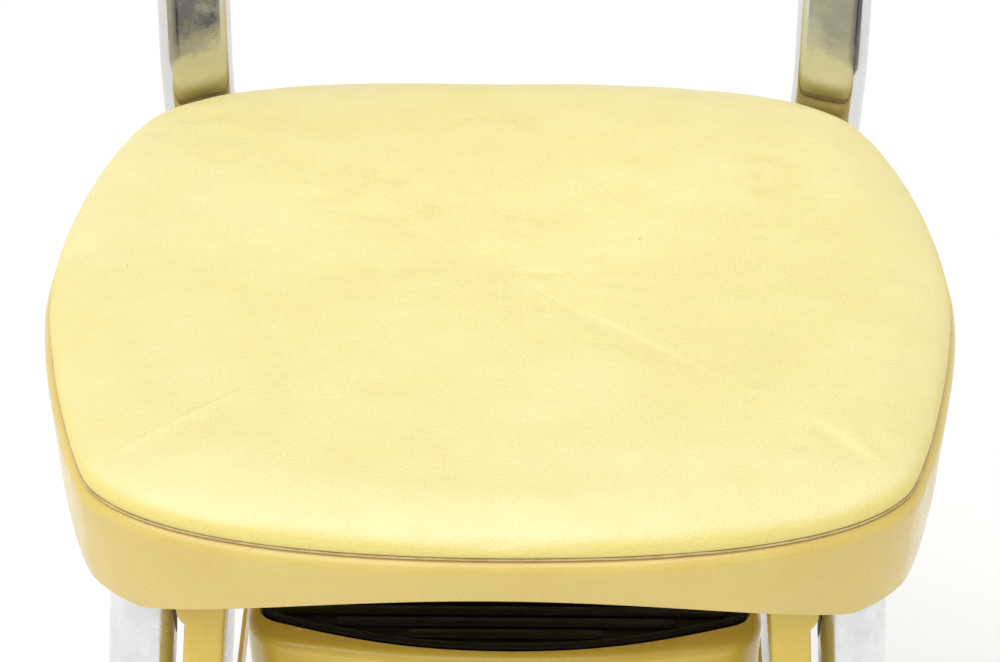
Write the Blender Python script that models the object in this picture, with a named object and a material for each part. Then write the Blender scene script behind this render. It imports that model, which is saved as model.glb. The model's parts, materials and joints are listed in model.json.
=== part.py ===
"""Padded kitchen step chair with two treads that swing out from under its seat.

Metres, +Z up, -Y is the front, the origin is on the floor under the middle of the chair.
"""
import math

import bmesh
import bpy
from mathutils import Matrix, Vector

# Driving dimensions
GAP = 0.0003                 # running gap between touching pieces
SEAM_Z = 0.600               # plane where the seat cover meets the seat pan
LEG_RADIUS = 0.0143
LEG_WALL = 0.0015
FOOT_X = 0.1996
FOOT_Y = 0.2225
LEG_TOP_Z = 0.578
FRONT_LEG_TOP = (0.1440, -0.1413)
REAR_LEG_TOP = (0.1350, 0.0930)
TIP_RADIUS = 0.0170
TIP_FLOOR = 0.005
TIP_HEIGHT = 0.024

LINK_LENGTH = 0.182
LINK_STORED = math.radians(96)   # angle above the forward horizontal, past upright
LINK_OPEN = math.radians(30)
DROP = LINK_LENGTH * (math.sin(LINK_STORED) - math.sin(LINK_OPEN))
UPPER_ROD_Z = 0.352
LOWER_ROD_Z = 0.130
ROD_RADIUS = 0.004
ROD_BEHIND_LEG_AXIS = 0.005
PIN_RADIUS = 0.003

RAIL_TOP_Z = 0.553
RAIL_HEAD_RADIUS = 0.0102
RAIL_HEAD_SHIFT = 0.0018         # the rounded head bulges on the outer side only
RAIL_WIDTH = 0.0167
RAIL_DEPTH = 0.0170
RAIL_WALL = 0.0018
RAIL_BEFORE_LEG_AXIS = 0.0179
RAIL_X_AT_TOP = 0.1195           # centre of the rail's web at RAIL_TOP_Z
SPLAY = 0.0963                   # sideways lean of the front legs and rails, per metre of height
UPPER_TREAD_Z = 0.504
LOWER_TREAD_Z = 0.294
TREAD_OFFSET_X = 0.0032          # the treads sit slightly towards the sitter's left hand
TREAD_SKIRT = 0.026

BACK_RADIUS = 0.372
BACK_TILT = math.radians(17)
BACK_BEND_Z = 0.618
UPRIGHT_X = 0.1547
BACK_OFFSET_X = 0.0055           # the back sits slightly to the viewer's right of the seat
UPRIGHT_Y = 0.1285
UPRIGHT_TURN = math.radians(24.1)


def clear_scene():
    for item in list(bpy.data.objects):
        bpy.data.objects.remove(item)


def finish(name, color, roughness, metallic=0.0):
    made = bpy.data.materials.new(name)
    made.use_nodes = True
    shader = made.node_tree.nodes["Principled BSDF"]
    shader.inputs["Base Color"].default_value = (*color, 1.0)
    shader.inputs["Roughness"].default_value = roughness
    shader.inputs["Metallic"].default_value = metallic
    return made


def add_object(name, bm, material, parent=None):
    """The bmesh, given in world coordinates, as an object that may hang on an empty."""
    bmesh.ops.remove_doubles(bm, verts=bm.verts, dist=1e-6)
    bmesh.ops.recalc_face_normals(bm, faces=bm.faces)
    if bm.calc_volume(signed=True) < 0:
        bmesh.ops.reverse_faces(bm, faces=bm.faces)
    mesh = bpy.data.meshes.new(name)
    if parent is not None:
        bm.transform(Matrix.Translation(-parent.location))
    bm.to_mesh(mesh)
    bm.free()
    mesh.shade_smooth()
    mesh.set_sharp_from_angle(angle=math.radians(35))
    made = bpy.data.objects.new(name, mesh)
    made.data.materials.append(material)
    made.parent = parent
    bpy.context.scene.collection.objects.link(made)
    return made


def ladder_cap(bm, loop):
    """Fills a symmetric loop with rungs from its upper half to its lower half, so it can curve."""
    count = len(loop)
    for i in range(count // 2):
        corners = [loop[i], loop[i + 1], loop[count - i - 1], loop[-i]]
        bm.faces.new(list(dict.fromkeys(corners)))


def add_rings(bm, rings, curved_caps=False):
    """A closed skin through rings of equal point counts, each end filled."""
    loops = []
    for ring in rings:
        loops.append([bm.verts.new(point) for point in ring])
    count = len(loops[0])
    for low, high in zip(loops, loops[1:]):
        for i in range(count):
            j = (i + 1) % count
            bm.faces.new((low[i], low[j], high[j], high[i]))
    for loop in (loops[0], loops[-1]):
        if curved_caps:
            ladder_cap(bm, loop)
        else:
            bm.faces.new(loop)


def ring_solid(name, rings, material, parent=None, curved_caps=False):
    bm = bmesh.new()
    add_rings(bm, rings, curved_caps)
    return add_object(name, bm, material, parent)


def hollow_solid(name, outer, inner, material, parent=None):
    """A shell: outer rings run one way and inner rings come back, both ends joined as rims."""
    bm = bmesh.new()
    loops = []
    for ring in outer + list(reversed(inner)):
        loops.append([bm.verts.new(point) for point in ring])
    count = len(loops[0])
    for low, high in zip(loops, loops[1:] + loops[:1]):
        for i in range(count):
            j = (i + 1) % count
            bm.faces.new((low[i], low[j], high[j], high[i]))
    return add_object(name, bm, material, parent)


def circle(center, radius, sides=16, axis="Z"):
    points = []
    for i in range(sides):
        angle = math.tau * i / sides
        u = radius * math.cos(angle)
        v = radius * math.sin(angle)
        offset = {"Z": (u, v, 0), "X": (0, u, v), "Y": (u, 0, v)}[axis]
        points.append(Vector(center) + Vector(offset))
    return points


def bezier(start, handle_a, handle_b, end, steps):
    points = []
    for i in range(steps):
        t = i / steps
        s = 1 - t
        points.append(s**3 * start + 3 * s * s * t * handle_a + 3 * s * t * t * handle_b + t**3 * end)
    return points


def seat_outline(grow=0.0, steps=6):
    """Plan of the seat cover: nearly straight back, wide middle, tapering to a bowed front."""
    front = Vector((0, -0.1878))
    corner = Vector((0.1633, -0.1507))
    side = Vector((0.1971, -0.0211))
    rear_corner = Vector((0.1735, 0.0911))
    rear = Vector((0, 0.1323))
    corner_way = Vector((math.cos(math.radians(50)), math.sin(math.radians(50))))
    rear_way = Vector((math.cos(math.radians(117)), math.sin(math.radians(117))))
    half = bezier(front, front + Vector((0.074, 0)), corner - 0.036 * corner_way, corner, steps)
    half += bezier(corner, corner + 0.014 * corner_way, side - Vector((0, 0.040)), side, steps)
    half += bezier(side, side + Vector((0, 0.047)), rear_corner - 0.026 * rear_way, rear_corner, steps)
    half += bezier(rear_corner, rear_corner + 0.038 * rear_way, rear + Vector((0.094, 0)), rear, steps)
    half.append(rear)
    whole = half + [Vector((-p.x, p.y)) for p in reversed(half[1:-1])]
    return [point + grow * way for point, way in zip(whole, outward(whole))]


def outward(points):
    """Unit normals of a counter-clockwise closed outline."""
    normals = []
    count = len(points)
    for i in range(count):
        run = (points[(i + 1) % count] - points[i - 1]).normalized()
        normals.append(Vector((run.y, -run.x)))
    return normals


def leg_center(top, z, side=1):
    """The middle of a straight leg at height z."""
    share = z / LEG_TOP_Z
    foot_y = math.copysign(FOOT_Y, top[1])
    return Vector((side * (FOOT_X + (top[0] - FOOT_X) * share), foot_y + (top[1] - foot_y) * share, z))


clear_scene()
vinyl = finish("vinyl", (0.90, 0.80, 0.36), 0.45)
yellow_paint = finish("yellow_paint", (0.72, 0.56, 0.20), 0.30)
chrome = finish("chrome", (0.62, 0.62, 0.60), 0.18, 1.0)
black_rubber = finish("black_rubber", (0.012, 0.010, 0.008), 0.55)
foam = finish("foam", (0.75, 0.66, 0.38), 0.95)
board = finish("board", (0.30, 0.18, 0.09), 0.85)
zinc = finish("zinc", (0.45, 0.45, 0.43), 0.40, 1.0)

# ---------------------------------------------------------------- seat
PAN_GROW = 0.0040
PAN_WALL = 0.0014
PAN_TOP_Z = SEAM_Z - 0.0012
SHOULDER = 0.0060


def apron_depth(point):
    """The apron is low in the middle of the front and deep at the corners and sides."""
    arch = 0.020 + 0.029 * min(abs(point.x) / 0.145, 1.0) ** 2
    if point.y < -0.10:
        return arch
    rear_arch = 0.032 + 0.017 * min(abs(point.x) / 0.145, 1.0) ** 2
    return rear_arch if point.y > 0.07 else 0.049


def seat_ring(grow, z):
    return [Vector((p.x, p.y, z)) for p in seat_outline(grow)]


def add_seat_pan():
    """A shallow pressed lid: flat top, rounded shoulder and an apron with an arched lower edge."""
    edge = seat_outline(PAN_GROW)
    depths = [apron_depth(p) for p in edge]
    outer = []
    for turn in (90, 60, 30, 0):
        angle = math.radians(turn)
        grow = PAN_GROW - SHOULDER * (1 - math.cos(angle))
        z = PAN_TOP_Z - SHOULDER * (1 - math.sin(angle))
        outer.append(seat_ring(grow, z))
    outer.append([Vector((p.x, p.y, SEAM_Z - d)) for p, d in zip(edge, depths)])
    inner_edge = seat_outline(PAN_GROW - PAN_WALL)
    inner = [[Vector((p.x, p.y, SEAM_Z - d)) for p, d in zip(inner_edge, depths)]]
    for turn in (0, 45, 90):
        angle = math.radians(turn)
        grow = PAN_GROW - PAN_WALL - (SHOULDER - PAN_WALL) * (1 - math.cos(angle))
        z = PAN_TOP_Z - PAN_WALL - (SHOULDER - PAN_WALL) * (1 - math.sin(angle))
        inner.append(seat_ring(grow, z))
    ring_solid("seat_pan", outer + inner, yellow_paint)


def add_seat_cushion():
    """Fibreboard base, foam layer and the vinyl cover that closes over both."""
    board_top = SEAM_Z + 0.0048
    ring_solid("seat_board", [seat_ring(-0.0030, SEAM_Z - 0.0006), seat_ring(-0.0030, board_top)], board)
    foam_levels = ((-0.0036, 0.0002), (-0.0080, 0.0040), (-0.030, 0.0062), (-0.075, 0.0076))
    rings = [seat_ring(grow, board_top + GAP + rise) for grow, rise in foam_levels]
    ring_solid("seat_foam", [seat_ring(-0.0036, board_top + GAP)] + rings[1:], foam)
    outer_levels = ((0.0, 0.0), (0.0004, 0.0040), (-0.0012, 0.0082), (-0.0056, 0.0114),
                    (-0.014, 0.0132), (-0.034, 0.0146), (-0.075, 0.0158))
    inner_levels = ((-0.0018, 0.0), (-0.0018, 0.0062), (-0.0072, 0.0098), (-0.030, 0.0122), (-0.075, 0.0136))
    outer = [seat_ring(grow, SEAM_Z - 0.0006 + rise) for grow, rise in outer_levels]
    inner = [seat_ring(grow, SEAM_Z - 0.0006 + rise) for grow, rise in inner_levels]
    ring_solid("seat_cover", list(reversed(inner)) + outer, vinyl)


def channel(name, y, half_length, z_low, z_high, width=0.024, wall=0.002):
    """An inverted U of sheet steel that runs from leg to leg under the seat pan."""
    half = width / 2
    profile = [(-half, z_low), (-half, z_high), (half, z_high), (half, z_low),
               (half - wall, z_low), (half - wall, z_high - wall),
               (-half + wall, z_high - wall), (-half + wall, z_low)]
    ends = []
    for x in (-half_length, half_length):
        ends.append([Vector((x, y + dy, z)) for dy, z in profile])
    ring_solid(name, ends, yellow_paint)


add_seat_pan()
add_seat_cushion()
channel("front_seat_channel", -0.1440, 0.1290, 0.5605, 0.5965)
channel("rear_seat_channel", 0.0905, 0.1190, 0.5605, 0.5965)

# ---------------------------------------------------------------- legs
FLAT_START_Z = 0.519
FLAT_X = 0.1353


def flattened(point, side, wall):
    """Near its top a front leg is pressed flat on its inner side."""
    if point.z < FLAT_START_Z:
        return point
    limit = FLAT_X + wall
    if side * point.x < limit:
        point.x = side * limit
    return point


def leg_ring(top, z, side, radius, wall, flat):
    ring = circle(leg_center(top, z, side), radius, sides=20)
    if flat:
        ring = [flattened(point, side, wall) for point in ring]
    return ring


def add_leg(name, top, side, flat):
    levels = [TIP_FLOOR + GAP, 0.30, FLAT_START_Z - 0.002, FLAT_START_Z + 0.004, 0.535, 0.555, LEG_TOP_Z]
    outer = [leg_ring(top, z, side, LEG_RADIUS, 0.0, flat) for z in levels]
    inner = [leg_ring(top, z, side, LEG_RADIUS - LEG_WALL, LEG_WALL, flat) for z in levels]
    hollow_solid(name, outer, inner, chrome)


def add_leg_tip(name, top, side):
    """A rubber cup whose flat underside is level with the floor."""
    def ring(z, radius):
        return circle(leg_center(top, z, side), radius, sides=20)
    outer = [ring(0.0, TIP_RADIUS - 0.002), ring(0.002, TIP_RADIUS), ring(TIP_HEIGHT, TIP_RADIUS - 0.0012)]
    bore = LEG_RADIUS + GAP
    inner = [ring(TIP_HEIGHT, bore), ring(TIP_FLOOR, bore)]
    ring_solid(name, outer + inner, black_rubber)


for side_name, side in (("left", -1), ("right", 1)):
    add_leg(f"front_leg_{side_name}", FRONT_LEG_TOP, side, True)
    add_leg(f"rear_leg_{side_name}", REAR_LEG_TOP, side, False)
    add_leg_tip(f"front_tip_{side_name}", FRONT_LEG_TOP, side)
    add_leg_tip(f"rear_tip_{side_name}", REAR_LEG_TOP, side)


def rod_between(name, start, end, radius, axis, material, sides=14):
    ring_solid(name, [circle(start, radius, sides, axis), circle(end, radius, sides, axis)], material)


def rod_center(z):
    middle = leg_center(FRONT_LEG_TOP, z)
    return Vector((0, middle.y + ROD_BEHIND_LEG_AXIS, z))


def leg_inner_x(top, z):
    return leg_center(top, z).x - LEG_RADIUS - GAP


for rod_name, z in (("upper_pivot_rod", UPPER_ROD_Z), ("lower_pivot_rod", LOWER_ROD_Z)):
    center = rod_center(z)
    reach = Vector((leg_inner_x(FRONT_LEG_TOP, z + ROD_RADIUS) - GAP, 0, 0))
    rod_between(rod_name, center - reach, center + reach, ROD_RADIUS, "X", zinc, sides=16)

REAR_BRACE_Z = 0.215
reach = Vector((leg_inner_x(REAR_LEG_TOP, REAR_BRACE_Z + 0.006) - GAP, 0, 0))
middle = leg_center(REAR_LEG_TOP, REAR_BRACE_Z)
middle.x = 0
rod_between("rear_stretcher", middle - reach, middle + reach, 0.006, "X", chrome, sides=16)
for side_name, side in (("left", -1), ("right", 1)):
    start = leg_center(FRONT_LEG_TOP, REAR_BRACE_Z, side)
    end = leg_center(REAR_LEG_TOP, REAR_BRACE_Z, side)
    x = (start.x + end.x) / 2
    clear = LEG_RADIUS + 0.0014
    rod_between(f"side_stretcher_{side_name}", (x, start.y + clear, REAR_BRACE_Z),
                (x, end.y - clear, REAR_BRACE_Z), 0.005, "Y", chrome)

# ---------------------------------------------------------------- back
UPRIGHT_HALF_WIDTH = 0.018
UPRIGHT_HALF_THICK = 0.008
UPRIGHT_WALL = 0.0015
UPRIGHT_LOW_Z = 0.545
UPRIGHT_REACH = 0.2150
BEND_RADIUS = 0.06
LEAN = Matrix.Rotation(-BACK_TILT, 3, "X")
BEND_POINT = Vector((0, UPRIGHT_Y, BACK_BEND_Z))


def upright_path():
    """Straight up, a short bend, then leaning back; each point with its lean."""
    tangent = BEND_RADIUS * math.tan(BACK_TILT / 2)
    stations = [(UPRIGHT_Y, UPRIGHT_LOW_Z, 0.0)]
    for share in (0, 1 / 3, 2 / 3, 1):
        lean = BACK_TILT * share
        stations.append((UPRIGHT_Y + BEND_RADIUS * (1 - math.cos(lean)),
                         BACK_BEND_Z - tangent + BEND_RADIUS * math.sin(lean), lean))
    for reach in (UPRIGHT_REACH - 0.004, UPRIGHT_REACH):
        stations.append((UPRIGHT_Y + reach * math.sin(BACK_TILT),
                         BACK_BEND_Z + reach * math.cos(BACK_TILT), BACK_TILT))
    return stations


def stadium(half_width, half_thick, steps=6):
    """A flat oval, as points (along its width, along its thickness)."""
    straight = half_width - half_thick
    points = []
    for middle, start in ((straight, -90), (-straight, 90)):
        for i in range(steps + 1):
            angle = math.radians(start + 180 * i / steps)
            points.append((middle + half_thick * math.cos(angle), half_thick * math.sin(angle)))
    return points


def upright_ring(station, side, inset):
    y, z, lean = station
    tilt = Matrix.Rotation(-lean, 3, "X")
    wide = tilt @ Vector((math.cos(UPRIGHT_TURN), -side * math.sin(UPRIGHT_TURN), 0))
    thick = tilt @ Vector((side * math.sin(UPRIGHT_TURN), math.cos(UPRIGHT_TURN), 0))
    middle = Vector((BACK_OFFSET_X + side * UPRIGHT_X, y, z))
    oval = stadium(UPRIGHT_HALF_WIDTH - inset, UPRIGHT_HALF_THICK - inset)
    return [middle + u * wide + v * thick for u, v in oval]


def add_upright(name, side):
    """A flat-oval tube turned to face the sitter, open below and closed above."""
    stations = upright_path()
    outer = [upright_ring(s, side, 0.0) for s in stations[:-1]]
    outer.append(upright_ring(stations[-1], side, 0.0035))
    inner = [upright_ring(s, side, UPRIGHT_WALL) for s in stations[:-1]]
    ring_solid(name, list(reversed(inner)) + outer, chrome)


def add_screw_head(name, side, z, radius, height, lean):
    """A domed head on the upright's rear face."""
    tilt = LEAN if lean else Matrix.Identity(3)
    facing = tilt @ Vector((side * math.sin(UPRIGHT_TURN), math.cos(UPRIGHT_TURN), 0))
    wide = tilt @ Vector((math.cos(UPRIGHT_TURN), -side * math.sin(UPRIGHT_TURN), 0))
    up = facing.cross(wide)
    reach = z - BACK_BEND_Z
    base = Vector((BACK_OFFSET_X + side * UPRIGHT_X, UPRIGHT_Y, z))
    if lean:
        base.y += reach * math.sin(BACK_TILT)
        base.z = BACK_BEND_Z + reach * math.cos(BACK_TILT)
    rings = []
    for share, rise in ((1.0, 0.0), (1.0, 0.25), (0.8, 0.7), (0.4, 1.0)):
        middle = base + (UPRIGHT_HALF_THICK + GAP + rise * height) * facing
        ring = []
        for i in range(12):
            angle = math.tau * i / 12
            ring.append(middle + share * radius * (math.cos(angle) * wide + math.sin(angle) * up))
        rings.append(ring)
    ring_solid(name, rings, zinc)


BACK_LOW_Z = 0.695
BACK_HALF_WIDTH = 0.184
BACK_HALF_HEIGHT = 0.086
BACK_CURVE_CENTER_Y = (UPRIGHT_Y - (BACK_RADIUS + UPRIGHT_HALF_THICK) * math.cos(UPRIGHT_TURN))


def back_point(across, height, depth):
    """A point of the back rest: along the curve, up from its middle, and forward from its rear face."""
    angle = across / BACK_RADIUS
    radius = BACK_RADIUS - 0.0006 - depth
    upright = Vector((BACK_OFFSET_X + radius * math.sin(angle), BACK_CURVE_CENTER_Y + radius * math.cos(angle),
                      BACK_LOW_Z + BACK_HALF_HEIGHT + height))
    return BEND_POINT + LEAN @ (upright - BEND_POINT)


def back_ring(inset, depth, count=40, square=3.4):
    """A rounded rectangle on the curve, drawn as a superellipse."""
    ring = []
    for i in range(count):
        angle = math.tau * i / count
        c = math.cos(angle)
        s = math.sin(angle)
        across = (BACK_HALF_WIDTH - inset) * math.copysign(abs(c) ** (2 / square), c)
        height = (BACK_HALF_HEIGHT - inset) * math.copysign(abs(s) ** (2 / square), s)
        ring.append(back_point(across, height, depth))
    return ring


def add_back_rest():
    """A pressed steel rear shell, a foam pad, and the vinyl cover over the pad."""
    shell = [back_ring(0.0014, 0.0155), back_ring(0.0014, 0.0065), back_ring(0.0060, 0.0014),
             back_ring(0.045, 0.0014)]
    outside = [back_ring(0.045, 0.0), back_ring(0.0060, 0.0), back_ring(0.0018, 0.0018),
               back_ring(0.0, 0.0060), back_ring(0.0, 0.0155)]
    ring_solid("back_pan", outside + shell, yellow_paint, curved_caps=True)
    pad = [back_ring(0.0070, 0.0068), back_ring(0.0070, 0.0200), back_ring(0.014, 0.0262),
           back_ring(0.035, 0.0295), back_ring(0.065, 0.0302)]
    ring_solid("back_foam", [back_ring(0.045, 0.0022), back_ring(0.0090, 0.0030)] + pad, foam,
               curved_caps=True)
    cover_inner = [back_ring(0.0055, 0.0160), back_ring(0.0055, 0.0212), back_ring(0.013, 0.0278),
                   back_ring(0.035, 0.0308), back_ring(0.065, 0.0315)]
    cover = [back_ring(0.0025, 0.0160), back_ring(0.0020, 0.0215), back_ring(0.0055, 0.0262),
             back_ring(0.013, 0.0302), back_ring(0.035, 0.0330), back_ring(0.065, 0.0338)]
    ring_solid("back_cover", list(reversed(cover_inner)) + cover, vinyl, curved_caps=True)


for side_name, side in (("left", -1), ("right", 1)):
    add_upright(f"back_upright_{side_name}", side)
    for level, z in (("low", 0.562), ("high", 0.586)):
        add_screw_head(f"upright_bolt_{level}_{side_name}", side, z, 0.0065, 0.0034, False)
    for level, z in (("low", 0.745), ("high", 0.815)):
        add_screw_head(f"back_screw_{level}_{side_name}", side, z, 0.0045, 0.0024, True)
add_back_rest()

# ---------------------------------------------------------------- swing joints
LINK_WAY = Vector((0, -math.cos(LINK_STORED), math.sin(LINK_STORED)))


def empty_at(name, location):
    made = bpy.data.objects.new(name, None)
    made.location = location
    bpy.context.scene.collection.objects.link(made)
    bpy.context.view_layer.update()
    return made


upper_axis = empty_at("upper_link_axis", rod_center(UPPER_ROD_Z))
lower_axis = empty_at("lower_link_axis", rod_center(LOWER_ROD_Z))
upper_pin = rod_center(UPPER_ROD_Z) + LINK_LENGTH * LINK_WAY
lower_pin = rod_center(LOWER_ROD_Z) + LINK_LENGTH * LINK_WAY
step_axis = empty_at("step_unit_axis", upper_pin)


def rail_center_x(z):
    return RAIL_X_AT_TOP + (RAIL_TOP_Z - z) * SPLAY


def web_y(z):
    return leg_center(FRONT_LEG_TOP, z).y - RAIL_BEFORE_LEG_AXIS


# ---------------------------------------------------------------- rails and their feet
RAIL_LOW_Z = 0.0958
LUG_EXTRA = 0.0062


def rail_outline(inset):
    """A bar with a round head that bulges outwards, as (offset across, height), counter-clockwise."""
    half = RAIL_WIDTH / 2 - inset
    head = RAIL_HEAD_RADIUS - inset
    head_z = RAIL_TOP_Z - RAIL_HEAD_RADIUS
    outer_join = math.acos((half - RAIL_HEAD_SHIFT) / head)
    inner_join = math.acos(min(1.0, (half + RAIL_HEAD_SHIFT) / head))
    stops = (0.140, 0.288, 0.300, 0.322, 0.334, 0.490, 0.512)
    points = [(half, RAIL_LOW_Z + inset)] + [(half, z) for z in stops]
    for i in range(13):
        angle = -outer_join + (math.pi + outer_join + inner_join) * i / 12
        points.append((RAIL_HEAD_SHIFT + head * math.cos(angle), head_z + head * math.sin(angle)))
    points += [(-half, z) for z in reversed(stops)] + [(-half, RAIL_LOW_Z + inset)]
    return points


def flange_depth(z):
    """The flanges are deeper where a link's pin passes through them."""
    for pin in (upper_pin.z, lower_pin.z):
        away = abs(z - pin)
        if away < 0.024:
            return RAIL_DEPTH + LUG_EXTRA * min(1.0, (0.024 - away) / 0.012)
    return RAIL_DEPTH


def rail_ring(side, inset, depth):
    ring = []
    for across, z in rail_outline(inset):
        reach = flange_depth(z) if depth is None else depth
        ring.append(Vector((side * (rail_center_x(z) + across), web_y(z) + reach, z)))
    return ring


def add_rail(name, side):
    """A pressed channel: front web with rounded edges and flanges that run back."""
    rings = [rail_ring(side, 0.0022, 0.0), rail_ring(side, 0.0007, 0.0007), rail_ring(side, 0.0, 0.0024),
             rail_ring(side, 0.0, None), rail_ring(side, RAIL_WALL, None),
             rail_ring(side, RAIL_WALL + 0.0005, RAIL_WALL)]
    ring_solid(name, rings, yellow_paint, step_axis)


def rounded_rect(half_x, low_y, high_y, radius, steps=3):
    corners = ((half_x, high_y, 0), (-half_x, high_y, 90), (-half_x, low_y, 180), (half_x, low_y, 270))
    points = []
    for x, y, start in corners:
        middle = (x - math.copysign(radius, x), y - radius if y == high_y else y + radius)
        for i in range(steps + 1):
            angle = math.radians(start + 90 * i / steps)
            points.append((middle[0] + radius * math.cos(angle), middle[1] + radius * math.sin(angle)))
    return points


def add_rail_foot(name, side):
    """A rubber cup pushed over the rail's lower end; it stands on the floor when the steps are out."""
    wall = 0.0022
    half = RAIL_WIDTH / 2

    def ring(z, grow, radius):
        outline = rounded_rect(half + grow, -grow, RAIL_DEPTH + grow, radius)
        return [Vector((side * (rail_center_x(z) + x), web_y(z) + y, z)) for x, y in outline]

    low = DROP + GAP
    top = RAIL_LOW_Z + 0.016
    bore = 2 * GAP
    rings = [ring(low, wall - 0.001, 0.003), ring(low + 0.0015, wall, 0.004), ring(top, wall, 0.004),
             ring(top, bore, 0.0005), ring(RAIL_LOW_Z - GAP, bore, 0.0005)]
    ring_solid(name, rings, black_rubber, step_axis)


# ---------------------------------------------------------------- treads
def tread_outline(half_width, front, bow, corner, rear):
    """Straight sides and back, rounded corners, and a front edge that bows forward."""
    middle = Vector((0, front))
    front_end = Vector((half_width - corner, front + bow))
    front_corner = Vector((half_width, front + bow + corner))
    rear_corner = Vector((half_width, rear - 0.012))
    rear_end = Vector((half_width - 0.012, rear))
    way = Vector((1, 2 * bow / half_width)).normalized()
    half = bezier(middle, middle + Vector((0.4 * half_width, 0)), front_end - 0.3 * half_width * way,
                  front_end, 6)
    half += bezier(front_end, front_end + 0.55 * corner * way, front_corner - Vector((0, 0.55 * corner)),
                   front_corner, 4)
    half += [front_corner]
    half += bezier(rear_corner, rear_corner + Vector((0, 0.0066)), rear_end + Vector((0.0066, 0)),
                   rear_end, 3)
    half += [rear_end, Vector((0, rear))]
    return half + [Vector((-p.x, p.y)) for p in reversed(half[1:-1])]


def add_tread(name, z, half_width, front, rear):
    """A pressed tray: deep skirt, rounded rim and a recess that holds the rubber mat."""
    edge = tread_outline(half_width, front, 0.008, 0.020, rear)
    mat = tread_outline(half_width - 0.0062, front + 0.0072, 0.0155, 0.008, rear - 0.010)

    def ring(outline, grow, rise):
        moved = [p + grow * way for p, way in zip(outline, outward(outline))]
        return [Vector((p.x + TREAD_OFFSET_X, p.y, z + rise)) for p in moved]

    rings = [ring(edge, -0.0014, -0.0060), ring(edge, -0.0014, -TREAD_SKIRT), ring(edge, 0.0, -TREAD_SKIRT),
             ring(edge, 0.0, -0.0042), ring(edge, -0.0012, -0.0012), ring(edge, -0.0040, 0.0),
             ring(mat, 0.0014, 0.0), ring(mat, 0.0005, -0.0030)]
    underside = [ring(mat, 0.0, -0.0046)]
    ring_solid(name + "_tread", underside + rings, yellow_paint, step_axis)
    ring_solid(name + "_mat", [ring(mat, 0.0, -0.0027), ring(mat, 0.0, -0.0006)], black_rubber, step_axis)


def add_tread_rod(name, z):
    """A cross rod from rail to rail that carries the front of a tread."""
    level = z - TREAD_SKIRT - ROD_RADIUS - GAP
    reach = rail_center_x(level + ROD_RADIUS) - RAIL_WIDTH / 2 - 2 * GAP
    middle = Vector((0, web_y(level) + 0.009, level))
    rings = [circle(middle + Vector((x, 0, 0)), ROD_RADIUS, 14, "X") for x in (-reach, reach)]
    ring_solid(name, rings, zinc, step_axis)


def plate_from_outline(name, outline, holes, place, thickness, material, parent):
    """A flat bar with round holes. place turns (along, across, through) into a world point."""
    bm = bmesh.new()
    loops = []
    for loop in [outline] + holes:
        verts = [bm.verts.new(place(s, t, -thickness / 2)) for s, t in loop]
        loops.append(verts)
    edges = []
    for verts in loops:
        for i, vert in enumerate(verts):
            edges.append(bm.edges.new((vert, verts[(i + 1) % len(verts)])))
    bmesh.ops.triangle_fill(bm, use_beauty=True, edges=edges)
    twin = {}
    for verts, loop in zip(loops, [outline] + holes):
        for vert, (s, t) in zip(verts, loop):
            twin[vert] = bm.verts.new(place(s, t, thickness / 2))
    for face in list(bm.faces):
        bm.faces.new([twin[vert] for vert in reversed(face.verts)])
    for verts in loops:
        for i, vert in enumerate(verts):
            after = verts[(i + 1) % len(verts)]
            bm.faces.new((vert, after, twin[after], twin[vert]))
    add_object(name, bm, material, parent)


def capsule(length, radius, steps=7):
    points = []
    for middle, start in ((length, -90), (0.0, 90)):
        for i in range(steps + 1):
            angle = math.radians(start + 180 * i / steps)
            points.append((middle + radius * math.cos(angle), radius * math.sin(angle)))
    return points


def round_hole(along, radius, sides=18):
    hole = []
    for i in range(sides):
        angle = math.tau * i / sides
        hole.append((along + radius * math.cos(angle), radius * math.sin(angle)))
    return hole


def add_bar(name, start, end, slope, side, radius, thickness, holes, material, parent):
    """A flat bar from start to end whose plane leans outward by slope per metre of its length."""
    run = Vector((0, end.y - start.y, end.z - start.z))
    length = run.length
    along = run / length
    across = Vector((0, -along.z, along.y))

    def place(s, t, through):
        point = start + s * along + t * across
        point.x = side * (start.x + slope * s + through)
        return point

    cut = [round_hole(where * length, size) for where, size in holes]
    plate_from_outline(name, capsule(length, radius), cut, place, thickness, material, parent)


LINK_HALF_WIDTH = 0.008
LINK_THICK = 0.003
PIN_HOLE = PIN_RADIUS + 0.0005
ROD_HOLE = ROD_RADIUS + 0.0005


def add_link(name, pin, rod_z, side, parent):
    start = Vector((rail_center_x(pin.z), pin.y, pin.z))
    end = rod_center(rod_z)
    holes = ((0.0, PIN_HOLE), (1.0, ROD_HOLE))
    add_bar(name, start, end, SPLAY, side, LINK_HALF_WIDTH, LINK_THICK, holes, zinc, parent)


def add_pin(name, pin, side):
    """The rivet that joins a link to the flanges of its rail."""
    reach = RAIL_WIDTH / 2 - RAIL_WALL - 3 * GAP
    center = Vector((side * rail_center_x(pin.z), pin.y, pin.z))
    rings = [circle(center + Vector((x, 0, 0)), PIN_RADIUS, 16, "X") for x in (-reach, reach)]
    ring_solid(name, rings, zinc, step_axis)


def add_strap(name, tread_z, half_width, rear_y, side):
    """A brace from the rear of a tread's skirt down and forward to the rail."""
    thick = 0.002
    rail_z = tread_z - 0.108
    rail_x = rail_center_x(rail_z) - RAIL_WIDTH / 2 - thick / 2 - 0.0009
    skirt_x = half_width + side * TREAD_OFFSET_X + thick / 2 + 0.0014
    start = Vector((skirt_x, rear_y, tread_z - 0.014))
    end = Vector((rail_x, web_y(rail_z) + 0.009, rail_z))
    slope = (rail_x - skirt_x) / Vector((0, end.y - start.y, end.z - start.z)).length
    add_bar(name, start, end, slope, side, 0.007, thick, (), yellow_paint, step_axis)


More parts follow.
